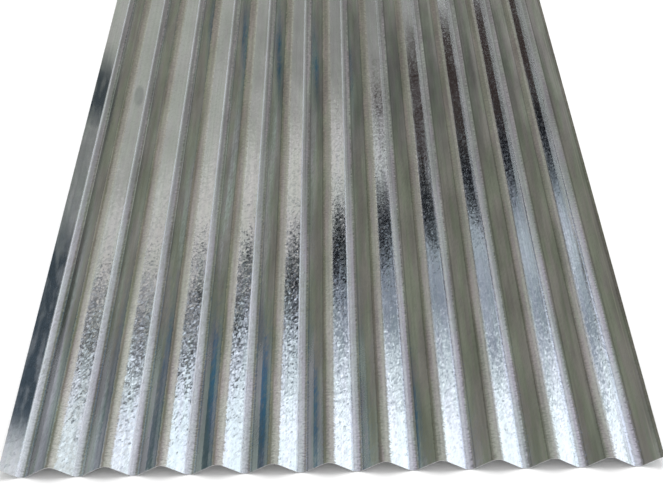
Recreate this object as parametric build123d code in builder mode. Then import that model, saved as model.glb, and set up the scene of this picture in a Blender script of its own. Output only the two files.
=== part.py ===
"""Corrugated galvanised steel sheet: one piece of roofing and cladding stock, roll-formed from flat coil.

The sheet lies on its troughs. X runs across the corrugations, Y along them and Z up, with the origin
under the middle of the sheet, on the surface that the troughs rest on. Sizes are in millimetres.
"""

import os
from math import asin, atan2, cos, hypot

from build123d import *

# The sheet
length = 1800.0  # along the corrugations
thickness = 0.5  # steel and zinc together

# The corrugation
pitch = 76.0  # from one crest to the next
trough_count = 12
depth = 18.0  # from under the troughs to the top of the crests
bend_radius = 15.0  # of the middle of the sheet, at crests and troughs alike

# Both side edges are cut on a flank, this far short of the crest line that it climbs to.
left_setback = 7.8
right_setback = 4.2

half_pitch = pitch / 2
width = trough_count * pitch - left_setback - right_setback
left_crest_x = -width / 2 - left_setback

# The middle of the sheet rises by this much from trough to crest. The straight flanks touch the
# bends of a trough and a crest, so their angle follows from the distance between the bends' centres.
rise = depth - thickness
centre_drop = rise - 2 * bend_radius
centre_distance = hypot(half_pitch, centre_drop)
flank_angle = asin(2 * bend_radius / centre_distance) + atan2(centre_drop, half_pitch)

# Neighbouring flanks, drawn on past their bend, meet this far beyond it.
corner_overshoot = bend_radius * (1 / cos(flank_angle) - 1)
trough_corner_z = thickness / 2 - corner_overshoot
crest_corner_z = depth - thickness / 2 + corner_overshoot


def zigzag_corners():
    """Corners of the zigzag that the wave is bent from, crest and trough in turn.

    It starts a whole wave before the left edge. It ends at the crest line beyond the right edge, where
    the last flank runs straight on, because a line's end gets no bend.
    """
    corners = []
    for trough in range(-1, trough_count):
        crest_x = left_crest_x + trough * pitch
        corners.append((crest_x, crest_corner_z))
        corners.append((crest_x + half_pitch, trough_corner_z))
    corners.append((left_crest_x + trough_count * pitch, crest_corner_z))
    return corners


with BuildPart() as corrugated_sheet:
    with BuildSketch(Plane.XZ) as wave_section:
        with BuildLine():
            FilletPolyline(*zigzag_corners(), radius=bend_radius)
        trace(line_width=thickness)
        with Locations((0, depth / 2)):
            Rectangle(width, 2 * depth, mode=Mode.INTERSECT)
    extrude(amount=length / 2, both=True)

corrugated_sheet.part.label = "corrugated_sheet"

os.makedirs("parts", exist_ok=True)
export_step(corrugated_sheet.part, "parts/corrugated_sheet.step")
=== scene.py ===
"""Corrugated galvanised steel sheet, dressed over its CAD node.

The sheet is one surface: a wave profile bent from arcs and straight flanks, carried along Y and
given both faces and its sheared edges. Everything is in metres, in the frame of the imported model.
"""

from math import asin, atan2, cos, hypot, radians, sin

import bpy
import numpy as np
from bpy.props import FloatProperty, FloatVectorProperty, IntProperty, PointerProperty
from mathutils import Matrix, Vector


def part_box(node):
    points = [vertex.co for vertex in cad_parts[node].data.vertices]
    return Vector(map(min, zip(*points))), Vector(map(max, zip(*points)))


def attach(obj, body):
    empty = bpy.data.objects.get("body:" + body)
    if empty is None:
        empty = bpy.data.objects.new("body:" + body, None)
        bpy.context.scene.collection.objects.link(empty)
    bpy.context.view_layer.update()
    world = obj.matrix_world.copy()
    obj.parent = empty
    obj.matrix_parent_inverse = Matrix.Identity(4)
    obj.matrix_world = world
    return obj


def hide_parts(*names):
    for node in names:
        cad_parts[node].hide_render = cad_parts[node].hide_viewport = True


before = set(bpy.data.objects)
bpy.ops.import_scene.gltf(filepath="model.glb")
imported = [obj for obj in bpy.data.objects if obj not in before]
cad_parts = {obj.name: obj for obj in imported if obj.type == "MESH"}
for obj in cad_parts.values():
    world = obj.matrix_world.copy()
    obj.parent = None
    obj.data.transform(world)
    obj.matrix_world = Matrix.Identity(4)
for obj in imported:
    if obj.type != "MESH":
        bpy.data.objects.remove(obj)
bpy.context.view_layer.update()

bl_info = {
    "name": "Corrugated galvanised sheet",
    "version": (1, 0, 0),
    "blender": (4, 5, 0),
    "location": "3D View > Sidebar > Roofing",
    "description": "Makes a roll-formed zinc-coated steel sheet and the studio that it is shown in",
    "category": "Add Mesh",
}

sheet_low, sheet_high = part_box("corrugated_sheet")
MM = 0.001  # one millimetre, in metres
DEVELOPED_MAP = "Developed"
CARD_MAP = "Card degrees"
SENSOR_WIDTH = 36.0  # of the camera, in millimetres


class SheetSizes(bpy.types.PropertyGroup):
    """Sizes of the sheet and of the grid that its surface is worked out on."""

    length: FloatProperty(
        name="Length", description="Along the corrugations", default=sheet_high[1] - sheet_low[1],
        min=0.1, unit="LENGTH")
    width: FloatProperty(
        name="Width", description="Across the corrugations, edge to edge",
        default=sheet_high[0] - sheet_low[0], min=0.05, unit="LENGTH")
    depth: FloatProperty(
        name="Depth", description="From under the troughs to the top of the crests",
        default=sheet_high[2] - sheet_low[2], min=0.005, unit="LENGTH")
    thickness: FloatProperty(
        name="Thickness", description="Steel and zinc together", default=0.0005, min=0.0002,
        precision=5, unit="LENGTH")
    pitch: FloatProperty(
        name="Pitch", description="From one crest to the next", default=0.076, min=0.02,
        unit="LENGTH")
    bend_radius: FloatProperty(
        name="Bend radius", description="Of the middle of the sheet", default=0.015, min=0.002,
        unit="LENGTH")
    left_setback: FloatProperty(
        name="Left setback", description="From the first crest line to the left edge",
        default=0.0078, min=0.0, unit="LENGTH")
    unevenness: FloatProperty(
        name="Unevenness",
        description="How far rolling and handling left the sheet off its true wave",
        default=0.00025, min=0.0, precision=5, unit="LENGTH")
    rows: IntProperty(name="Rows", description="Grid lines across the sheet", default=141, min=2)


class ZincFinish(bpy.types.PropertyGroup):
    """Colours and grain of the zinc coat."""

    zinc: FloatVectorProperty(
        name="Zinc", description="Colour of the bright coat", subtype="COLOR",
        default=(0.62, 0.64, 0.65))
    # Crest colour: rubbed, matt zinc, and partly painted light: made lighter to stand in for the
    # lamp's highlight, which the metal does not mirror
    crest: FloatVectorProperty(
        name="Crests", description="Colour along the rubbed crests", subtype="COLOR",
        default=(0.504, 0.497, 0.462))
    # Trough colour: cooler than the zinc, a painted reflection standing in for light bounced
    # between the flanks into the troughs
    trough: FloatVectorProperty(
        name="Troughs", description="Colour along the troughs", subtype="COLOR",
        default=(0.58, 0.60, 0.65))
    steel: FloatVectorProperty(
        name="Cut steel", description="Colour of the sheared edge", subtype="COLOR",
        default=(0.60, 0.60, 0.60))
    fleck_length: FloatProperty(
        name="Fleck length", description="Of the spangle's longer side", default=0.0068,
        min=0.0005, precision=4, unit="LENGTH")
    fleck_width: FloatProperty(
        name="Fleck width", description="Of the spangle's shorter side", default=0.0022,
        min=0.0005, precision=4, unit="LENGTH")
    fleck_angle: FloatProperty(
        name="Fleck angle", description="From straight across the sheet", default=radians(66),
        unit="ROTATION")
    gloss_roughness: FloatProperty(
        name="Roughness of flanks", description="Of the bright flanks", default=0.08, min=0.0,
        max=1.0, subtype="FACTOR")
    bend_roughness: FloatProperty(
        name="Roughness of bends", description="Of the worked bends", default=0.2, min=0.0,
        max=1.0, subtype="FACTOR")


class StudioSetup(bpy.types.PropertyGroup):
    """Camera, floor and light."""

    camera_place: FloatVectorProperty(
        name="Camera", description="Where the camera stands", default=(0.019, -2.389, 1.413),
        subtype="XYZ", unit="LENGTH")
    camera_down: FloatProperty(
        name="Looking down", description="Below the horizon", default=radians(35.0),
        unit="ROTATION")
    camera_turn: FloatProperty(
        name="Turn", description="To the right of straight ahead", default=radians(-0.43),
        unit="ROTATION")
    camera_roll: FloatProperty(
        name="Roll", description="Tilt of the horizon", default=radians(-1.37), unit="ROTATION")
    lens: FloatProperty(
        name="Lens", description="Focal length on a 36 mm sensor, in millimetres", default=81.3,
        min=10.0)
    floor: FloatVectorProperty(
        name="Floor", description="Colour of the floor", subtype="COLOR",
        default=(0.93, 0.93, 0.93))
    fill: FloatProperty(
        name="Fill", description="Brightness of the surroundings for matt surfaces", default=0.85,
        min=0.0)
    lamp_power: FloatProperty(
        name="Lamp", description="Power of the soft overhead lamp, in watts", default=60.0,
        min=0.0)


def profile_facts(sizes):
    """Angle of the flanks, and lengths along the sheet: half a bend, a flank and a whole wave.

    A flank touches the arcs of a crest and a trough, so its angle follows from the distance between
    the centres of those arcs.
    """
    radius, half_pitch = sizes.bend_radius, sizes.pitch / 2
    drop = sizes.depth - sizes.thickness - 2 * radius
    between = hypot(half_pitch, drop)
    angle = asin(2 * radius / between) + atan2(drop, half_pitch)
    half_bend = radius * angle
    flank = (half_pitch - 2 * radius * sin(angle)) / cos(angle)
    return angle, half_bend, flank, 4 * half_bend + 2 * flank


def bent_wave(along, sizes):
    """Middle line of the wave at distances along the sheet from the first crest line.

    Each wave is folded about its trough. From the crest line down, the line turns about the crest's
    centre by the distance over the radius, runs straight down the flank, then turns back about the
    trough's centre. Past the last trough's flank it runs straight on. Gives x from the first crest
    line, z above the floor, and the slope angle, which is positive where the line climbs.
    """
    angle, half_bend, flank, wave = profile_facts(sizes)
    radius = sizes.bend_radius
    waves = round(sizes.width / sizes.pitch)
    flank_end = waves * wave - half_bend
    past = np.maximum(along - flank_end, 0.0)
    along = np.minimum(along, flank_end)
    whole = np.floor(along / wave)
    part = along - whole * wave
    falling = part <= wave / 2
    down = np.minimum(part, wave - part)
    crest_turn = np.minimum(down / radius, angle)
    straight = np.clip(down - half_bend, 0.0, flank)
    trough_turn = np.clip((wave / 2 - down) / radius, 0.0, angle)
    x = (radius * np.sin(crest_turn) + straight * cos(angle)
         + radius * (sin(angle) - np.sin(trough_turn)))
    fall = (radius * (1 - np.cos(crest_turn)) + straight * sin(angle)
            + radius * (np.cos(trough_turn) - cos(angle)))
    slope = np.minimum(crest_turn, trough_turn)
    x = whole * sizes.pitch + np.where(falling, x, sizes.pitch - x) + past * cos(angle)
    z = sizes.depth - sizes.thickness / 2 - fall + past * sin(angle)
    return x, z, np.where(falling, -slope, slope)


HALF_BEND_COLUMNS = 5  # grid lines from a crest or trough line to the end of its bend
FLANK_SHARES = (0.012, 0.25, 0.5, 0.75, 0.988)  # where the grid lines lie down a flank
EDGE_GAP = MM / 4  # from the left edge to the first grid line
LINE_SLACK = MM / 100  # how far a grid line may pass the last bend
COLUMN_DIGITS = 7  # columns that agree to this many decimals of a metre are one


def columns_along(sizes):
    """Distances along the developed sheet of the grid's columns.

    Bends have eight steps each and flanks six. The two side edges end the row, and a column beside
    an edge is dropped.
    """
    angle, half_bend, flank, wave = profile_facts(sizes)
    bend_steps = np.linspace(0, half_bend, HALF_BEND_COLUMNS)
    flank_steps = half_bend + flank * np.array(FLANK_SHARES)
    half_wave = np.concatenate([bend_steps, flank_steps, wave / 2 - bend_steps])
    one_wave = np.concatenate([half_wave, wave - half_wave])
    waves = round(sizes.width / sizes.pitch)
    every = (np.arange(waves)[:, None] * wave + one_wave).ravel()
    left = half_bend + (sizes.left_setback - sizes.bend_radius * sin(angle)) / cos(angle)
    flank_end = waves * wave - half_bend
    past_end = waves * sizes.pitch - sizes.left_setback - sizes.width
    right = flank_end + (sizes.bend_radius * sin(angle) - past_end) / cos(angle)
    inside = every[(every > left + EDGE_GAP) & (every < flank_end + LINE_SLACK)]
    return np.unique(np.round(np.concatenate([[left], inside, [right]]), COLUMN_DIGITS))


LONG_WAVES = 14  # plane waves that add up to the unevenness
LENGTHS_ALONG = (0.12, 0.6)  # theirs, in metres
LENGTHS_ACROSS = (0.05, 0.5)
WEIGHTS = (0.4, 1.0)
USUAL_SUM = 2.2  # sums past this flatten out towards -1 and 1


def rolling_unevenness(across, along_y, seed):
    """Smooth value from about -1 to 1: a sum of long plane waves with seeded lengths and phases."""
    draw = np.random.default_rng(seed)
    total = np.zeros(np.broadcast(across, along_y).shape)
    for _ in range(LONG_WAVES):
        length_y, length_u = draw.uniform(*LENGTHS_ALONG), draw.uniform(*LENGTHS_ACROSS)
        phase, weight = draw.uniform(0, 2 * np.pi), draw.uniform(*WEIGHTS)
        sign = draw.choice([-1, 1])
        turns = along_y / length_y + sign * across / length_u
        total += weight * np.sin(2 * np.pi * turns + phase)
    return np.tanh(total / USUAL_SUM)


def grid_quads(rows, columns):
    """Corners of the quads of a grid of rows by columns, counter-clockwise seen from above."""
    first = (np.arange(rows - 1)[:, None] * columns + np.arange(columns - 1)).reshape(-1, 1)
    return first + np.array([0, 1, columns + 1, columns])


def mesh_of_quads(name, points, quads, corner_map, map_name):
    """A mesh from arrays of points, quads and one UV pair for each corner."""
    mesh = bpy.data.meshes.new(name)
    mesh.vertices.add(len(points))
    mesh.vertices.foreach_set("co", np.ascontiguousarray(points, np.float32).ravel())
    mesh.loops.add(quads.size)
    mesh.loops.foreach_set("vertex_index", quads.astype(np.int32).ravel())
    mesh.polygons.add(len(quads))
    mesh.polygons.foreach_set("loop_start", np.arange(0, quads.size, 4, dtype=np.int32))
    mesh.update(calc_edges=True)
    layer = mesh.uv_layers.new(name=map_name)
    layer.uv.foreach_set("vector", np.ascontiguousarray(corner_map, np.float32).ravel())
    return mesh


PAIR_BASE = 1 << 24  # more than the sheet has vertices


def pair_numbers(pairs):
    """One number for each pair of vertices, whichever comes first."""
    return np.sort(pairs, -1).astype(np.int64) @ [PAIR_BASE, 1]


def smooth_step(value, low, high):
    """From 0 at low to 1 at high, level at both ends: 3 times the square less twice the cube."""
    part = np.clip((value - low) / (high - low), 0.0, 1.0)
    return part * part * (3 - 2 * part)


# How far the waves are flattened and the flanks dished, as shares of the unevenness, and where
# across the sheet that changes, as shares of its width from the middle
FLATNESS = 0.5
FLATTER_FROM_LEFT, FLATTER_ENDS = 1.1, (-0.42, -0.18)
TRUER_TO_RIGHT, TRUER_ENDS = 1.6, (0.05, 0.4)
UNEVEN_DISH = 0.2
RISING_DISH = 1.9
FALLING_DISH, DISHED_ENDS = -0.9, (0.12, 0.32)
FLAT_SEED, DISH_SEED = 11, 23


def off_true(across, along_y, x, height, falling, sizes):
    """How far the sheet stands off its true wave, along its normal.

    Every wave is a little flat, most of all left of the middle, so crests only sink and troughs
    only rise. The flanks are dished by a share that falls to nothing at the crest and trough lines.
    """
    place = x / sizes.width
    flatter = (FLATNESS + FLATTER_FROM_LEFT * smooth_step(place, *FLATTER_ENDS)
               - TRUER_TO_RIGHT * smooth_step(place, *TRUER_ENDS))
    first = rolling_unevenness(across, along_y, FLAT_SEED)
    second = rolling_unevenness(across, along_y, DISH_SEED)
    flat = -height * (flatter + (1 + first) / 2) / 2
    dished = np.where(falling, FALLING_DISH * smooth_step(place, *DISHED_ENDS), RISING_DISH)
    dish = (UNEVEN_DISH * second + dished) * (1 - height ** 2)
    return sizes.unevenness * (flat + dish)


UNDERSIDE_WAVES = 24  # from the top's map to the underside's, so its pattern is its own


def sheet_mesh(sizes):
    """Both faces and the sheared edges of the sheet, closed.

    The middle surface is the wave carried along Y. The upper and lower faces stand half a thickness
    off it along its normal. Unevenness moves both along that normal, never past the height of the
    crests or the level of the troughs.
    """
    along = columns_along(sizes)
    y = np.linspace(-sizes.length / 2, sizes.length / 2, sizes.rows)
    x, z, slope = bent_wave(along, sizes)
    x = x - sizes.width / 2 - sizes.left_setback
    across, back = np.meshgrid(along, y)
    middle = sizes.depth / 2
    height = (z - middle) / (middle - sizes.thickness / 2)
    uneven = off_true(across, back, x, height, slope <= 0, sizes)
    normal_x, normal_z = -np.sin(slope), np.cos(slope)
    half_width = sizes.width / 2

    faces = []
    for side in (1, -1):
        off = side * sizes.thickness / 2 + uneven
        face_x = np.clip(x + off * normal_x, -half_width, half_width)
        faces.append(np.stack([face_x, back, z + off * normal_z], -1))
    points = np.concatenate([face.reshape(-1, 3) for face in faces])

    rows, columns = across.shape
    upper = grid_quads(rows, columns)
    lower = upper[:, ::-1] + rows * columns
    ring = np.concatenate([
        np.arange(columns),
        np.arange(1, rows) * columns + columns - 1,
        (rows - 1) * columns + np.arange(columns - 2, -1, -1),
        np.arange(rows - 2, 0, -1) * columns,
    ])
    after = np.roll(ring, -1)
    rim = np.stack([ring, ring + rows * columns, after + rows * columns, after], -1)
    quads = np.concatenate([upper, lower, rim])

    developed = np.stack([across.ravel(), back.ravel()], -1)
    wave = profile_facts(sizes)[3]
    under = developed + [UNDERSIDE_WAVES * wave, 0.0]
    rim_map = developed[np.stack([ring, ring, after, after], -1)]
    rim_map[:, 1:3] += sizes.thickness
    corner_map = np.concatenate([developed[upper], under[lower - rows * columns], rim_map])
    corner_map = corner_map.reshape(-1, 2)

    mesh = mesh_of_quads("galvanised_sheet", points, quads, corner_map, DEVELOPED_MAP)
    is_rim = np.zeros(len(quads), bool)
    is_rim[-len(rim):] = True
    mesh.polygons.foreach_set("material_index", is_rim.astype(np.int32))
    mesh.attributes.new("sharp_face", "BOOLEAN", "FACE").data.foreach_set("value", is_rim)
    ends = np.empty(2 * len(mesh.edges), np.int32)
    mesh.edges.foreach_get("vertices", ends)
    outlines = (ring, ring + rows * columns)
    corner_pairs = np.concatenate([np.stack([line, np.roll(line, -1)], -1) for line in outlines])
    is_corner = np.isin(pair_numbers(ends.reshape(-1, 2)), pair_numbers(corner_pairs))
    mesh.attributes.new("sharp_edge", "BOOLEAN", "EDGE").data.foreach_set("value", is_corner)
    mesh.validate()
    return mesh


class Bench:
    """Puts nodes into one tree and joins them. Inputs take values or the sockets that feed them."""

    def __init__(self, tree):
        self.tree = tree

    def feed(self, socket, value):
        if isinstance(value, bpy.types.NodeSocket):
            self.tree.links.new(value, socket)
        else:
            socket.default_value = value

    def put(self, kind, inputs=None, **settings):
        node = self.tree.nodes.new(kind)
        for name, value in settings.items():
            setattr(node, name, value)
        for name, value in (inputs or {}).items():
            self.feed(node.inputs[name], value)
        return node

    def in_order(self, node, values):
        """The node, with its first inputs fed in order."""
        for socket, value in zip(node.inputs, values):
            self.feed(socket, value)
        return node

    def math(self, operation, *values, clamp=False):
        node = self.put("ShaderNodeMath", operation=operation, use_clamp=clamp)
        return self.in_order(node, values).outputs[0]

    def vector(self, operation, *values):
        node = self.put("ShaderNodeVectorMath", operation=operation)
        return self.in_order(node, values).outputs[0]

    def scaled(self, vector, factor):
        node = self.put("ShaderNodeVectorMath", {"Scale": factor}, operation="SCALE")
        return self.in_order(node, [vector]).outputs[0]

    def ramp(self, value, low, high, to_low=0.0, to_high=1.0, smooth=True):
        """value from low..high to to_low..to_high, held at both ends."""
        inputs = {"Value": value, "From Min": low, "From Max": high,
                  "To Min": to_low, "To Max": to_high}
        kind = "SMOOTHSTEP" if smooth else "LINEAR"
        node = self.put("ShaderNodeMapRange", inputs, interpolation_type=kind, clamp=True)
        return node.outputs[0]

    def fade(self, value, low, high):
        """1 up to low, 0 from high on."""
        return self.ramp(value, low, high, 1.0, 0.0)

    def times(self, first, *others):
        """All of them multiplied."""
        for value in others:
            first = self.math("MULTIPLY", first, value)
        return first

    def swing(self, noise, size):
        """The noise less a half, times a size."""
        return self.times(self.math("SUBTRACT", noise, 0.5), size)

    def gap(self, value, line):
        """How far the value is from a line, on either side."""
        return self.math("ABSOLUTE", self.math("SUBTRACT", value, line))

    def changed(self, mask, amount):
        """1 where the mask is 0, and 1 plus the amount where it is 1."""
        return self.math("MULTIPLY_ADD", mask, amount, 1.0)

    def mix(self, factor, first, second, blend="MIX"):
        node = self.put("ShaderNodeMix", data_type="RGBA", blend_type=blend)
        for place, value in ((0, factor), (6, first), (7, second)):
            self.feed(node.inputs[place], value)
        return node.outputs[2]

    def toned(self, colour, tone):
        """The colour times a tone."""
        return self.mix(1.0, colour, self.joined(tone, tone, tone), "MULTIPLY")

    def joined(self, x, y, z=0.0):
        return self.put("ShaderNodeCombineXYZ", {"X": x, "Y": y, "Z": z}).outputs[0]

    def split(self, vector):
        return self.put("ShaderNodeSeparateXYZ", {"Vector": vector}).outputs

    def group(self, tree, **inputs):
        return self.put("ShaderNodeGroup", inputs, node_tree=tree).outputs

    def fitted(self, vector, size, **inputs):
        """The vector counted in a pattern's size, from where it starts and as it is turned."""
        inputs.update(Vector=vector, Scale=size)
        return self.put("ShaderNodeMapping", inputs, vector_type="TEXTURE").outputs[0]

    def blotches(self, vector, across, along, detail=2.0, shift=(0.0, 0.0, 0.0), roughness=0.5):
        """Noise on the developed map whose blotches are across by along in size."""
        placed = self.fitted(vector, (across, along, 1.0), Location=shift)
        inputs = {"Vector": placed, "Scale": 1.0, "Detail": detail, "Roughness": roughness}
        noise = self.put("ShaderNodeTexNoise", inputs, noise_dimensions="2D")
        return noise.outputs["Fac"]

    def between(self, factor, first, second):
        """One shader where the factor is 0, the other where it is 1."""
        node = self.put("ShaderNodeMixShader", {"Fac": factor})
        self.feed(node.inputs[1], first)
        self.feed(node.inputs[2], second)
        return node.outputs[0]

    def metal(self, colour, roughness, **inputs):
        inputs.update({"Base Color": colour, "Metallic": 1.0, "Roughness": roughness})
        return self.put("ShaderNodeBsdfPrincipled", inputs).outputs[0]

    def show(self, shader):
        self.put("ShaderNodeOutputMaterial", {"Surface": shader})


def group_tree(name, outputs, vectors=(), **numbers):
    """A new shader node group that takes Vector and the numbers, and its inside ends.

    Its outputs are numbers too, apart from those that are also named as vectors.
    """
    tree = bpy.data.node_groups.new(name, "ShaderNodeTree")
    tree.interface.new_socket("Vector", in_out="INPUT", socket_type="NodeSocketVector")
    for label, default in numbers.items():
        socket = tree.interface.new_socket(label, in_out="INPUT", socket_type="NodeSocketFloat")
        socket.default_value = default
    for label in outputs:
        kind = "NodeSocketVector" if label in vectors else "NodeSocketFloat"
        tree.interface.new_socket(label, in_out="OUTPUT", socket_type=kind)
    bench = Bench(tree)
    return bench, bench.put("NodeGroupInput").outputs, bench.put("NodeGroupOutput").inputs


def new_material(name):
    """A material with no nodes yet, and the bench for its tree."""
    material = bpy.data.materials.new(name)
    material.use_nodes = True
    material.node_tree.nodes.clear()
    return material, Bench(material.node_tree)


WAVE_BANDS = ("Crest", "Trough", "Crest line", "Trough line", "Right flank", "Burnish",
              "Left of bend", "Dark side line", "Falling foot", "Rising sides")
BEND_EDGE = 1.2 * MM  # half of what a bend takes to end, and how far its end line reaches
BURNISHED = (0.2 * MM, 1.7 * MM)  # where the burnished line starts and stops fading
DARK_SIDE_FADE = (0.4 * MM, 1.5 * MM)  # the same for the darker lines beside the bends
DARK_SIDE_PAST_BEND = 0.7 * MM
BEND_SHOULDER = (0.45, 0.95)  # shares of half a bend between which its left side begins
FOOT_WIDENS = (0.55, 1.0)  # metres across between which the foot of the falling flanks widens
FOOT_TOP = (5.5 * MM, 20.4 * MM)  # and how far up from the trough line it reaches
LOWER_SIDE = (17 * MM, 19 * MM)  # where the lower side strip ends, up from a trough
UPPER_SIDE = (13 * MM, 16 * MM)  # and the upper one, down from a crest
UPPER_SIDE_SHARE = 0.5  # the upper one's strength


def wave_bands_group(sizes):
    """Where a developed point lies on the wave, as masks from 0 to 1.

    The distance across folds about each trough line into a distance down from the crest line and
    one up from the trough line, and each mask is a smooth step of one of them. Crest and Trough are
    the bends, with a line each where they end. Right flank is all that falls from a crest. Burnish
    is the line at its foot and Falling foot its lower part, which is taller to the right. Left of
    bend, Dark side line and Rising sides are on what climbs to a crest: its bends away from their
    middle, the two lines beside the bends, and a strip along either side of the flank.
    """
    bench, given, made = group_tree("Wave bands", WAVE_BANDS)
    _, half_bend, _, wave = profile_facts(sizes)
    across = bench.split(given["Vector"])[0]
    down = bench.math("PINGPONG", across, wave / 2)
    up = bench.math("SUBTRACT", wave / 2, down)
    falling = bench.math("LESS_THAN", bench.math("FLOORED_MODULO", across, wave), wave / 2)
    rising = bench.math("SUBTRACT", 1.0, falling)

    masks = {"Right flank": falling}
    for label, from_line in (("Crest", down), ("Trough", up)):
        masks[label] = bench.fade(from_line, half_bend - BEND_EDGE, half_bend + BEND_EDGE)
        masks[label + " line"] = bench.fade(bench.gap(from_line, half_bend), 0.0, BEND_EDGE)
    burnish = bench.fade(bench.gap(up, half_bend), *BURNISHED)
    masks["Burnish"] = bench.times(burnish, falling)
    # Lines just past the bends on the climbing flanks, which the coat's tone darkens
    dark_side_place = half_bend + DARK_SIDE_PAST_BEND
    from_dark_side = bench.math("MINIMUM", bench.gap(down, dark_side_place), bench.gap(up, dark_side_place))
    masks["Dark side line"] = bench.times(bench.fade(from_dark_side, *DARK_SIDE_FADE), rising)
    top = bench.ramp(across, *FOOT_WIDENS, *FOOT_TOP, smooth=False)
    foot = bench.fade(bench.math("SUBTRACT", up, top), -MM, MM)
    masks["Falling foot"] = bench.times(foot, falling)
    sides = bench.math("MAXIMUM", bench.fade(up, *LOWER_SIDE),
                       bench.ramp(down, *UPPER_SIDE, UPPER_SIDE_SHARE, 0.0))
    masks["Rising sides"] = bench.times(sides, rising)
    turned = bench.math("DIVIDE", bench.math("MINIMUM", down, up), half_bend)
    masks["Left of bend"] = bench.times(bench.ramp(turned, *BEND_SHOULDER), rising)
    for label, mask in masks.items():
        bench.feed(made[label], mask)
    return bench.tree


WANDER_SCALE = 180.0  # of the noise that pushes the crystals' edges about
WANDER = 0.5 * MM
LEAN_OF_MOST, LEAN_OF_RAREST = 0.2, 1.5  # the rarest crystals lean by both added up
DULL_ORDERS = 7.0  # so a crystal's dullness says nothing about its lean


def spangle_group():
    """Zinc crystals as long leaning cells: a tilt of the surface and a dullness, new in each cell.

    The map is pushed about by noise, turned and shrunk so that a cell of unit size is a crystal.
    The tilt is the cell's random colour less a half, times a share that grows with the square of
    one random number, so few crystals lean much.
    """
    bench, given, made = group_tree("Spangle", ("Tilt", "Dullness"), vectors=("Tilt",),
                                    Length=0.005, Width=0.002, Angle=1.0)
    size = bench.joined(given["Length"], given["Width"], 1.0)
    turn = bench.joined(0.0, 0.0, given["Angle"])
    noise = {"Vector": given["Vector"], "Scale": WANDER_SCALE, "Detail": 2.0}
    wander = bench.put("ShaderNodeTexNoise", noise, noise_dimensions="2D").outputs["Color"]
    shifted = bench.vector("MULTIPLY_ADD", wander, (WANDER, WANDER, 0.0), given["Vector"])
    placed = bench.fitted(shifted, size, Rotation=turn)
    cells = bench.put("ShaderNodeTexVoronoi", {"Vector": placed, "Scale": 1.0, "Randomness": 1.0},
                      voronoi_dimensions="2D")
    chance = bench.split(cells.outputs["Color"])[2]
    square = bench.math("POWER", chance, 2.0)
    rare = bench.math("MULTIPLY_ADD", square, LEAN_OF_RAREST, LEAN_OF_MOST)
    lean = bench.vector("SUBTRACT", cells.outputs["Color"], (0.5, 0.5, 0.5))
    bench.feed(made["Tilt"], bench.scaled(lean, rare))
    bench.feed(made["Dullness"], bench.math("FRACT", bench.times(chance, DULL_ORDERS)))
    return bench.tree


# Painted dark reflection on the first flank, as ramps along the sheet: from and to, and the value
# before and after
NEAR_DARK_REFLECTION = ((-0.90, -0.76, 0.0, 1.0), (-0.42, -0.24, 1.0, 0.55), (0.0, 0.1, 1.0, 0.0))
FAR_DARK_REFLECTION = ((-0.04, 0.08, 0.0, 1.0), (0.20, 0.38, 1.0, 0.0))
DARK_REFLECTION_EDGE = 3 * MM  # over which it ends at the foot of the flank
PATCH_WAVES, PATCH_ALONG = 1.25, 0.14  # where the patch's middle lies
PATCH_SIZE = (0.011, 0.045, 1.0)
PATCH_RAMP = (0.6, 1.1, 0.35, 0.0)  # its strength by the distance from its middle, in its sizes
# A lighter line painted up the last flank
LIGHT_LINE_UP = 7 * MM  # from the last trough's bend up its flank
LIGHT_LINE_RAMP = (0.3 * MM, 1.1 * MM, 0.8, 0.0)
PAINTED_MARK_NOISE = (0.012, 0.07, 3.0, (0.9, 0.1, 0.0))
DARK_REFLECTION_BLOTCH, LIGHT_LINE_BLOTCH = (0.3, 0.6, 0.8, 1.0), (0.35, 0.55, 0.4, 1.0)  # strength by noise


def painted_marks_group(sizes):
    """Painted marks on a few flanks only: a painted dark reflection on the first and in a small
    patch, a lighter line on the last.
    """
    bench, given, made = group_tree("Painted marks", ("Tarnish", "Rub"))
    blotch = bench.blotches(given["Vector"], *PAINTED_MARK_NOISE)
    across, along = bench.split(given["Vector"])[:2]
    _, half_bend, flank, wave = profile_facts(sizes)
    first = bench.fade(across, half_bend + flank - DARK_REFLECTION_EDGE, half_bend + flank)
    near, far = (bench.times(*(bench.ramp(along, *ramp) for ramp in ramps))
                 for ramps in (NEAR_DARK_REFLECTION, FAR_DARK_REFLECTION))
    first = bench.times(first, bench.math("MAXIMUM", near, far))
    centre = (PATCH_WAVES * wave, PATCH_ALONG, 0.0)
    away = bench.vector("DIVIDE", bench.vector("SUBTRACT", given["Vector"], centre), PATCH_SIZE)
    patch = bench.in_order(bench.put("ShaderNodeVectorMath", operation="LENGTH"), [away])
    patch = bench.ramp(patch.outputs["Value"], *PATCH_RAMP)
    dark_reflection = bench.math("MAXIMUM", first, patch)
    bench.feed(made["Tarnish"], bench.times(dark_reflection, bench.ramp(blotch, *DARK_REFLECTION_BLOTCH)))
    waves = round(sizes.width / sizes.pitch)
    line = bench.ramp(bench.gap(across, waves * wave - half_bend - LIGHT_LINE_UP), *LIGHT_LINE_RAMP)
    bench.feed(made["Rub"], bench.times(line, bench.ramp(blotch, *LIGHT_LINE_BLOTCH)))
    return bench.tree


# Noise in the coat: size of its blotches across and along the sheet, detail, and where it starts
COAT_NOISE = {
    "streak": (0.004, 0.5, 2.0),
    "fine": (0.004, 0.6, 2.0, (0.0, 2.0, 0.0)),
    "broad": (0.016, 0.9, 1.0, (0.3, 0.0, 0.0)),
    "cloud": (0.05, 0.16, 3.0, (1.7, 0.4, 0.0)),
    "haze": (0.020, 0.20, 3.0, (0.2, 5.0, 0.0)),
    "stain": (0.016, 0.16, 2.0, (4.1, 1.0, 0.0)),
    "cross": (0.007, 0.0032, 3.0, (0.0, 0.0, 0.0), 0.7),
}

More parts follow.
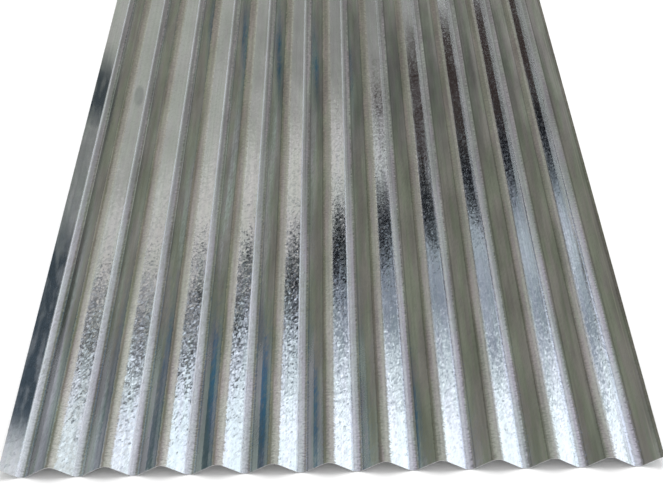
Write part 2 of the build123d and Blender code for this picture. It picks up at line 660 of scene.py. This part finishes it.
# Changes over the sheet, as ramps: from and to in metres, and the value before and after. Across
# is counted from the first crest line, and along from the middle of the sheet.
OVER_WIDTH = {
    "burnish share": (0.50, 0.68, 1.0, 0.15),
    "side share": (0.52, 0.66, 1.0, 0.0),
    "grain across": (0.45, 0.70, 1.0, 0.62),
    # Painted light: the crests lighter on the left and darker to the right, as the surroundings
    # light them
    "crest painted light": (0.2, 0.75, 1.2, 0.84),
    # Painted light: the troughs a little lighter towards the left
    "trough painted light": (0.05, 0.5, 1.08, 1.0),
    "lit crest": (0.25, 0.55, 0.6, 0.08),
    "lit trough": (0.25, 0.55, 0.7, 0.32),
}
OVER_LENGTH = {
    "foot share": (-0.38, -0.1),
    "side fade": (-0.68, -0.56, 1.0, 0.2),
    "grain along": (-0.75, 0.1, 1.2, 0.4),
}

RAGGED_EDGE = 12 * MM  # how far the cross marks push the edges of the worn bends
EVEN_SHARE = 0.15  # and what share of that the lines beside the bends get


def coat_masks(bench, sizes):
    """Sockets by name: the coat's noises, its changes over the sheet, and places on the wave.

    The bands of the wave are read twice: pushed about by the cross marks for the worn bends, and
    by a small share of that for the lines and strips beside them.
    """
    developed = bench.put("ShaderNodeUVMap", uv_map=DEVELOPED_MAP).outputs[0]
    on = {name: bench.blotches(developed, *facts) for name, facts in COAT_NOISE.items()}
    for line, ramps in zip(bench.split(developed), (OVER_WIDTH, OVER_LENGTH)):
        on.update({name: bench.ramp(line, *ramp) for name, ramp in ramps.items()})
    ragged = bench.swing(on["cross"], RAGGED_EDGE)
    bands_tree = wave_bands_group(sizes)
    pushes = (ragged, bench.times(ragged, EVEN_SHARE))
    pushed = (bench.vector("ADD", developed, bench.joined(push, 0.0)) for push in pushes)
    bands, even = (bench.group(bands_tree, Vector=place) for place in pushed)
    on.update({label: bands[label] for label in WAVE_BANDS})
    on.update({"developed": developed, "Dark side line": even["Dark side line"]})
    on["bend"] = bench.math("ADD", on["Crest"], on["Trough"], clamp=True)
    on["flank"] = bench.math("SUBTRACT", 1.0, on["bend"])
    on["burnish"] = bench.times(even["Burnish"], on["burnish share"])
    on["shaded foot"] = bench.times(even["Falling foot"], on["foot share"])
    on["matt foot"] = bench.times(on["shaded foot"], on["flank"])
    on["rising sides"] = bench.times(even["Rising sides"], on["flank"], on["side fade"],
                                     on["side share"])
    return on


SMALL_SHARE, SMALL_LEAN = 0.6, radians(7)  # size and turn of the small crystals
LARGE_TILT, SMALL_TILT = 0.034, 0.026  # the surface's tilts, as tangents
FLANK_GRAIN, OTHER_GRAIN = 0.7, 0.3  # the falling flanks' grain is both added up
STREAK_TILT, BROAD_TILT, CROSS_TILT = 0.03, 0.06, 0.28
CROSS_OVER_ALONG = 1.2  # how much more the cross marks tilt across than along


def coat_normal(bench, on, large, small):
    """The surface's normal tilted by the crystals, the rolling streaks and the cross marks."""
    tilt = bench.vector("ADD", bench.scaled(large["Tilt"], LARGE_TILT),
                        bench.scaled(small["Tilt"], SMALL_TILT))
    grain = bench.times(bench.math("MULTIPLY_ADD", on["Right flank"], FLANK_GRAIN, OTHER_GRAIN),
                        on["grain along"], on["grain across"])
    tilt = bench.scaled(bench.vector("MULTIPLY", tilt, (1.0, 1.0, 0.0)), grain)
    rolled = bench.math("ADD", bench.swing(on["streak"], STREAK_TILT),
                        bench.swing(on["broad"], BROAD_TILT))
    cross = bench.times(bench.swing(on["cross"], CROSS_TILT), on["bend"])
    across = bench.math("MULTIPLY_ADD", cross, CROSS_OVER_ALONG, rolled)
    tilt = bench.vector("ADD", tilt, bench.joined(across, cross))
    surface = bench.put("ShaderNodeNewGeometry").outputs["Normal"]
    return bench.vector("NORMALIZE", bench.vector("ADD", surface, tilt))


DULLEST = 0.08  # what the dullest crystals add to the roughness
TROUGH_WORK = 0.55  # how worked the troughs are, where the crests are 1
# What each place adds to the roughness
ADDED_ROUGHNESS = {"burnish": 0.26, "matt foot": 0.14, "rising sides": 0.2, "cloudy": 0.10,
                   "Tarnish": 0.12}


def coat_roughness(bench, on, large, finish):
    """Low on the flanks, a little higher in dull crystals and high on what is worn or matt."""
    dull = bench.times(bench.math("POWER", large["Dullness"], 2.0), DULLEST)
    roughness = bench.math("MULTIPLY_ADD", on["flank"], dull, finish.gloss_roughness)
    worked = bench.math("MULTIPLY_ADD", on["Trough"], TROUGH_WORK, on["Crest"])
    worked = bench.times(worked, finish.bend_roughness - finish.gloss_roughness)
    roughness = bench.math("ADD", roughness, worked)
    on["cloudy"] = bench.math("SUBTRACT", on["cloud"], 0.5)
    for place, amount in ADDED_ROUGHNESS.items():
        roughness = bench.math("MULTIPLY_ADD", on[place], amount, roughness)
    return roughness


# Tone by noise: from and to, and the tone before and after
NOISE_TONE = {
    "cloud": (0.3, 0.7, 0.93, 1.05),
    "streak": (0.3, 0.7, 0.95, 1.04),
    "haze": (0.34, 0.66, 0.85, 1.14),
    "cross": (0.35, 0.65, 0.78, 1.15),
}
DULLNESS_TONE = (0.4, 1.0, 1.03, 0.95)
DRAWN_TONE = 0.12  # how far the fine drawn lines change it
# Darker lines where the bends end; on the falling flanks the added share makes them lighter, a
# painted highlight where their edges would mirror the bright wall
BEND_END_TONE, BEND_END_PAINTED_HIGHLIGHT = -0.20, 0.34  # at the ends of the bends, and added on falling flanks
# What each place adds to a tone of 1
ADDED_TONE = {"burnish": 0.18, "shaded foot": -0.18, "Dark side line": -0.25}


def coat_tone(bench, on, large):
    """Brightness of the coat: the product of the tones of its noises, marks and bands, with painted
    light on the bends and a painted highlight on their end lines.
    """
    noise = {name: bench.ramp(on[name], *ramp, smooth=False) for name, ramp in NOISE_TONE.items()}
    marks = {name: bench.changed(on[name], amount) for name, amount in ADDED_TONE.items()}
    drawn = bench.swing(on["fine"], DRAWN_TONE)
    # End lines of the bends: darker, and a painted highlight on the falling flanks
    ends = bench.times(bench.math("MAXIMUM", on["Crest line"], on["Trough line"]),
                       bench.math("MULTIPLY_ADD", on["Right flank"], BEND_END_PAINTED_HIGHLIGHT, BEND_END_TONE))
    lines = bench.math("ADD", bench.math("ADD", drawn, 1.0), ends)
    lit = bench.times(on["Crest"], on["lit crest"])
    lit = bench.math("MULTIPLY_ADD", on["Trough"], on["lit trough"], lit)
    lit = bench.math("ADD", bench.times(lit, on["Left of bend"]), 1.0)
    speck = bench.ramp(large["Dullness"], *DULLNESS_TONE)
    haze = bench.math("MULTIPLY_ADD", on["Right flank"],
                      bench.math("SUBTRACT", 1.0, noise["haze"]), noise["haze"])
    grit = bench.changed(on["bend"], bench.math("SUBTRACT", noise["cross"], 1.0))
    return bench.times(noise["cloud"], noise["streak"], lines, marks["burnish"],
                       marks["shaded foot"], lit, marks["Dark side line"], speck, haze, grit)


STAIN_RAMP = (0.38, 0.62)
PINKISH, GREENISH = (1.03, 0.975, 1.03, 1.0), (0.965, 1.02, 0.955, 1.0)
CLEANER_FLANK = 0.65  # how much less of the stain the falling flanks show
# Dark blue-grey of the painted dark reflection on the first flank, and the pale grey of the lighter
# line up the last flank
PAINTED_DARK_REFLECTION, LIGHT_LINE_COLOUR = (0.055, 0.075, 0.095, 1.0), (0.78, 0.79, 0.78, 1.0)


def coat_colour(bench, on, tone, finish):
    """Zinc on the flanks, rubbed crests and cooler troughs with painted light, a faint stain, a
    painted dark reflection and a lighter line.
    """
    # Crest colour times its painted light, lighter on the left and darker on the right
    crest = bench.toned((*finish.crest, 1.0), on["crest painted light"])
    # Trough colour times its painted light, lighter towards the left
    trough = bench.toned((*finish.trough, 1.0), on["trough painted light"])
    colour = bench.mix(on["Crest"], (*finish.zinc, 1.0), crest)
    colour = bench.mix(on["Trough"], colour, trough)
    colour = bench.toned(colour, tone)
    tint = bench.mix(bench.ramp(on["stain"], *STAIN_RAMP), PINKISH, GREENISH)
    stained = bench.mix(1.0, colour, tint, "MULTIPLY")
    share = bench.math("SUBTRACT", 1.0, bench.times(on["Right flank"], CLEANER_FLANK))
    colour = bench.mix(share, colour, stained)
    # Painted dark reflection: the first flank's dark blue-grey, and a small patch of it
    colour = bench.mix(on["Tarnish"], colour, PAINTED_DARK_REFLECTION)
    # The lighter line up the last flank
    return bench.mix(on["Rub"], colour, LIGHT_LINE_COLOUR)


def zinc_material(sizes, finish):
    """Bright hot-dip zinc: leaning spangle, rolling streaks, and worked bends with cross marks."""
    material, bench = new_material("Hot-dip zinc")
    on = coat_masks(bench, sizes)
    marks = bench.group(painted_marks_group(sizes), Vector=on["developed"])
    on.update(Tarnish=marks["Tarnish"], Rub=marks["Rub"])
    spangle = spangle_group()
    large, small = (bench.group(spangle, Vector=on["developed"], Length=finish.fleck_length * share,
                                Width=finish.fleck_width * share, Angle=finish.fleck_angle + lean)
                    for share, lean in ((1.0, 0.0), (SMALL_SHARE, SMALL_LEAN)))
    tone = coat_tone(bench, on, large)
    bench.show(bench.metal(coat_colour(bench, on, tone, finish),
                           coat_roughness(bench, on, large, finish),
                           Normal=coat_normal(bench, on, large, small)))
    return material


DRAG_SIZE = (0.0006, 0.0006, 0.003)  # of the marks that the blade drew
DRAG_RANGE = (0.3, 0.7)
EDGE_TONE, EDGE_ROUGHNESS = (0.75, 1.15), (0.26, 0.42)


def sheared_edge_material(finish):
    """Cut steel between two skins of zinc: bright, drawn across by the blade."""
    material, bench = new_material("Sheared edge")
    place = bench.put("ShaderNodeTexCoord").outputs["Object"]
    lines = bench.fitted(place, DRAG_SIZE)
    drag = bench.put("ShaderNodeTexNoise", {"Vector": lines, "Scale": 1.0, "Detail": 2.0})
    tone, roughness = (bench.ramp(drag.outputs["Fac"], *DRAG_RANGE, *values, smooth=False)
                       for values in (EDGE_TONE, EDGE_ROUGHNESS))
    bench.show(bench.metal(bench.toned((*finish.steel, 1.0), tone), roughness))
    return material


def shown(name, data):
    """A new object of that name in the scene, in place of one made before."""
    before = bpy.data.objects.get(name)
    if before:
        bpy.data.objects.remove(before)
    thing = bpy.data.objects.new(name, data)
    bpy.context.scene.collection.objects.link(thing)
    return thing


class ROOFING_OT_add_sheet(bpy.types.Operator):
    """Make the corrugated sheet with its zinc coat and sheared edges"""
    bl_idname = "roofing.add_sheet"
    bl_label = "Corrugated sheet"
    bl_options = {"REGISTER", "UNDO"}

    def execute(self, context):
        sizes, finish = context.scene.sheet_sizes, context.scene.zinc_finish
        mesh = sheet_mesh(sizes)
        mesh.materials.append(zinc_material(sizes, finish))
        mesh.materials.append(sheared_edge_material(finish))
        sheet = shown("galvanised_sheet", mesh)
        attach(sheet, "root")
        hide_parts("corrugated_sheet")
        return {"FINISHED"}


# Studio cards that the metal mirrors. Each stands far off on a circle round the sheet: azimuths
# from +Y towards +X and heights above the horizon, both in degrees, how softly its sides and its
# top and bottom end, how far it leans aside for each degree up, and its brightness.
STUDIO_CARDS = {
    "rear wall": ((104, 256), (-8, 50), (8, 8), 0, (0.5, 0.51, 0.5)),
    "rear window": ((122, 156), (5, 60), (6, 6), 0, (1.05, 1.12, 1.2)),
    "second rear window": ((206, 238), (5, 60), (6, 6), 0, (1.00, 1.07, 1.15)),
    "rear door": ((168, 187), (-8, 36), (3, 5), 0, (0.16, 0.16, 0.15)),
    "room": ((-100, 24), (-8, 80), (8, 6), 0, (0.4, 0.4, 0.385)),
    "pale sky": ((22, 110), (-8, 82), (6, 6), 0, (0.9, 0.98, 1.07)),
    "right window": ((33.8, 80), (-8, 62), (1, 6), -0.49, (1.55, 1.66, 1.8)),
    "curtain": ((28.1, 35.8), (-8, 50), (3, 2.2), -0.62, (0.3, 0.35, 0.42)),
    "upper window": ((31.6, 60), (22.8, 62), (1.3, 2.8), -0.1, (1.32, 1.47, 1.66)),
    "high window": ((32, 60), (26.2, 62), (1.8, 1.8), -0.1, (1.62, 1.76, 1.9)),
    "low hedge": ((26.5, 36.8), (-8, 13.5), (3, 3.5), 0, (0.34, 0.39, 0.46)),
    "far wall": ((-24, 22), (-4, 46), (7, 6), 0, (0.35, 0.34, 0.305)),
    "right wall": ((11, 25.8), (8.3, 44), (1.5, 1.6), -0.16, (0.51, 0.515, 0.47)),
    "wall foot": ((18.5, 27.5), (6.3, 18.5), (3.2, 4), 0, (0.33, 0.33, 0.31)),
    "lit wall": ((23.8, 31.4), (11.5, 30), (3.3, 5), -0.1, (0.79, 0.76, 0.71)),
    "left ceiling": ((-30, 20), (29, 78), (12, 13), 0, (0.67, 0.67, 0.68)),
    "right ceiling": ((-16, 60), (27, 78), (11, 6), -1.6, (0.92, 0.94, 0.96)),
    "low brown wall": ((23.1, 31.6), (-8, 14.1), (1.7, 0.9), 0.17, (0.05, 0.036, 0.033)),
    "right shade": ((29.9, 33.85), (-8, 31.5), (0.7, 10), -0.05, (0.01, 0.012, 0.015)),
    "upper shade": ((27.6, 31.3), (21.6, 31), (1.1, 3), -0.3, (0.13, 0.13, 0.13)),
    "left wall": ((-75, -16), (-6, 38), (8, 8), 0, (0.24, 0.24, 0.195)),
    "left light": ((-62, -39), (0, 42), (2, 9), 0.1, (0.44, 0.48, 0.5)),
    "left low light": ((-62, -33), (-6, 11), (6, 5), 0, (0.42, 0.43, 0.45)),
    "left strip": ((-35.5, -26.2), (11.6, 14.2), (1.5, 0.9), 0, (0.43, 0.47, 0.46)),
    "left corner": ((-28, -19), (11, 21), (3, 3), 0.3, (0.15, 0.155, 0.135)),
    "left blue": ((-43.4, -36.3), (12.6, 21.5), (1.3, 1.8), 0.12, (0.05, 0.14, 0.24)),
    "left slate": ((-46, -39.6), (11.4, 21.5), (1.8, 1.8), 0, (0.085, 0.12, 0.14)),
    "far blue": ((-26.5, -23.6), (8.8, 14.4), (1, 1.6), 0, (0.02, 0.09, 0.15)),
}
CARD_FACTS = ("card_size", "card_soft", "card_glow")
CARD_DISTANCE = 25.0
CARD_GAP = 0.1  # between one card and the next
LEAST_STEPS = 4  # lines across or up a small card; larger ones have one a degree across
DEGREES_UP = 2  # between the lines up a card


def studio_cards():
    """All cards in one mesh, each a patch of a cylinder.

    A point stands at the distance times (sin azimuth, cos azimuth, tan elevation). Later cards
    stand a little nearer and cover the earlier ones. The map holds degrees from a patch's corner.
    """
    points, quads, corner_map, facts = [], [], [], []
    start = 0
    for order, (sides, ends, soft, lean, glow) in enumerate(STUDIO_CARDS.values()):
        columns = max(LEAST_STEPS, int(sides[1] - sides[0]) + 1)
        rows = max(LEAST_STEPS, int(ends[1] - ends[0]) // DEGREES_UP + 1)
        u, v = np.meshgrid(np.linspace(*sides, columns), np.linspace(*ends, rows))
        azimuth = np.radians(u + lean * (v - sum(ends) / 2))
        distance = CARD_DISTANCE - CARD_GAP * order
        patch = np.stack([np.sin(azimuth), np.cos(azimuth), np.tan(np.radians(v))], -1) * distance
        corners = grid_quads(rows, columns)
        degrees = np.stack([u - sides[0], v - ends[0]], -1).reshape(-1, 2)
        points.append(patch.reshape(-1, 3))
        quads.append(corners + start)
        corner_map.append(degrees[corners].reshape(-1, 2))
        size = (sides[1] - sides[0], ends[1] - ends[0])
        facts.append(np.tile([*size, 0.0, *soft, 0.0, *glow], (u.size, 1)))
        start += u.size
    mesh = mesh_of_quads("studio_cards", np.concatenate(points), np.concatenate(quads),
                         np.concatenate(corner_map), CARD_MAP)
    for label, values in zip(CARD_FACTS, np.split(np.concatenate(facts), len(CARD_FACTS), 1)):
        layer = mesh.attributes.new(label, "FLOAT_VECTOR", "POINT")
        layer.data.foreach_set("vector", values.ravel())
    return mesh


def card_material():
    """Even glow that fades out towards the card's edges."""
    material, bench = new_material("Studio card")
    here = bench.put("ShaderNodeUVMap", uv_map=CARD_MAP).outputs[0]
    size, soft, glow = (bench.put("ShaderNodeAttribute", attribute_name=name).outputs["Vector"]
                        for name in CARD_FACTS)
    inside = bench.vector("MINIMUM", here, bench.vector("SUBTRACT", size, here))
    share = bench.split(bench.vector("DIVIDE", inside, soft))
    cover = bench.times(bench.ramp(share[0], 0.0, 1.0), bench.ramp(share[1], 0.0, 1.0))
    light = bench.put("ShaderNodeEmission", {"Color": glow, "Strength": 1.0}).outputs[0]
    clear = bench.put("ShaderNodeBsdfTransparent").outputs[0]
    bench.show(bench.between(cover, clear, light))
    return material


def floor_material(colour):
    """Plain matt floor, seen through from below."""
    material, bench = new_material("Studio floor")
    matt = bench.put("ShaderNodeBsdfDiffuse", {"Color": (*colour, 1.0)}).outputs[0]
    clear = bench.put("ShaderNodeBsdfTransparent").outputs[0]
    below = bench.put("ShaderNodeNewGeometry").outputs["Backfacing"]
    bench.show(bench.between(below, matt, clear))
    return material


def studio_world(scene, fill):
    """White surroundings: full white where seen or mirrored, the fill level for matt surfaces."""
    world = bpy.data.worlds.new("Studio white")
    world.use_nodes = True
    world.node_tree.nodes.clear()
    bench = Bench(world.node_tree)
    ray = bench.put("ShaderNodeLightPath").outputs
    direct = bench.math("MAXIMUM", ray["Is Camera Ray"], ray["Is Glossy Ray"])
    direct = bench.math("MAXIMUM", direct, ray["Is Transmission Ray"])
    level = bench.ramp(direct, 0.0, 1.0, fill, 1.0, smooth=False)
    white = bench.put("ShaderNodeBackground", {"Color": (1.0, 1.0, 1.0, 1.0), "Strength": level})
    bench.put("ShaderNodeOutputWorld", {"Surface": white.outputs[0]})
    scene.world = world


def place_camera(scene, setup):
    """Stands the camera at its place, turned to the right, looking down, and rolled."""
    down, turn, roll = setup.camera_down, setup.camera_turn, setup.camera_roll
    ahead = Vector((sin(turn) * cos(down), cos(turn) * cos(down), -sin(down)))
    level = Vector((cos(turn), -sin(turn), 0.0))
    upright = level.cross(ahead)
    right = cos(roll) * level + sin(roll) * upright
    up = -sin(roll) * level + cos(roll) * upright
    lens = bpy.data.cameras.new("camera")
    lens.lens, lens.sensor_width = setup.lens, SENSOR_WIDTH
    camera = shown("camera", lens)
    facing = Matrix((right, up, -ahead)).transposed().to_4x4()
    camera.matrix_world = Matrix.Translation(setup.camera_place) @ facing
    scene.camera = camera


FLOOR_REACH = 60.0  # from its middle to each side
FLOOR_LEVEL = -0.0002  # just under the troughs
LAMP_SIZE = 2.5
LAMP_PLACE = (0.3, 0.4, 3.2)


class ROOFING_OT_set_studio(bpy.types.Operator):
    """Set up the floor, surroundings, lamp and camera, and the cards that the metal mirrors"""
    bl_idname = "roofing.set_studio"
    bl_label = "Studio"
    bl_options = {"REGISTER", "UNDO"}

    def execute(self, context):
        scene, setup = context.scene, context.scene.studio_setup
        scene.view_settings.view_transform = "Standard"
        studio_world(scene, setup.fill)

        corners = FLOOR_REACH * np.array([[-1, -1], [1, -1], [-1, 1], [1, 1]])
        square = grid_quads(2, 2)
        floor = mesh_of_quads("studio_floor", np.hstack([corners, np.full((4, 1), FLOOR_LEVEL)]),
                              square, corners[square].reshape(-1, 2), "Floor metres")
        floor.materials.append(floor_material(setup.floor))
        shown("studio_floor", floor)

        cards_mesh = studio_cards()
        cards_mesh.materials.append(card_material())
        cards = shown("studio_cards", cards_mesh)
        cards.visible_camera = cards.visible_diffuse = cards.visible_shadow = False
        cards.visible_transmission = cards.visible_volume_scatter = False

        lamp = bpy.data.lights.new("overhead_lamp", "AREA")
        lamp.shape, lamp.size, lamp.energy = "DISK", LAMP_SIZE, setup.lamp_power
        above = shown("overhead_lamp", lamp)
        above.location = LAMP_PLACE
        above.visible_glossy = False
        place_camera(scene, setup)
        return {"FINISHED"}


class ROOFING_PT_sidebar(bpy.types.Panel):
    """Sizes, finish and studio of the corrugated sheet"""
    bl_idname = "ROOFING_PT_sidebar"
    bl_label = "Corrugated sheet"
    bl_space_type = "VIEW_3D"
    bl_region_type = "UI"
    bl_category = "Roofing"

    def draw(self, context):
        layout, scene = self.layout, context.scene
        parts = ((scene.sheet_sizes, "roofing.add_sheet"), (scene.zinc_finish, None),
                 (scene.studio_setup, "roofing.set_studio"))
        for settings, operator in parts:
            box = layout.box()
            for name in settings.bl_rna.properties.keys():
                if name not in ("rna_type", "name"):
                    box.prop(settings, name)
            if operator:
                box.operator(operator)


SETTINGS = {"sheet_sizes": SheetSizes, "zinc_finish": ZincFinish, "studio_setup": StudioSetup}
CLASSES = (*SETTINGS.values(), ROOFING_OT_add_sheet, ROOFING_OT_set_studio, ROOFING_PT_sidebar)


def register():
    for made in CLASSES:
        bpy.utils.register_class(made)
    for name, made in SETTINGS.items():
        setattr(bpy.types.Scene, name, PointerProperty(type=made))


def unregister():
    for name in SETTINGS:
        delattr(bpy.types.Scene, name)
    for made in reversed(CLASSES):
        bpy.utils.unregister_class(made)


def main():
    register()
    bpy.ops.roofing.add_sheet()
    bpy.ops.roofing.set_studio()


if __name__ == "__main__":
    main()
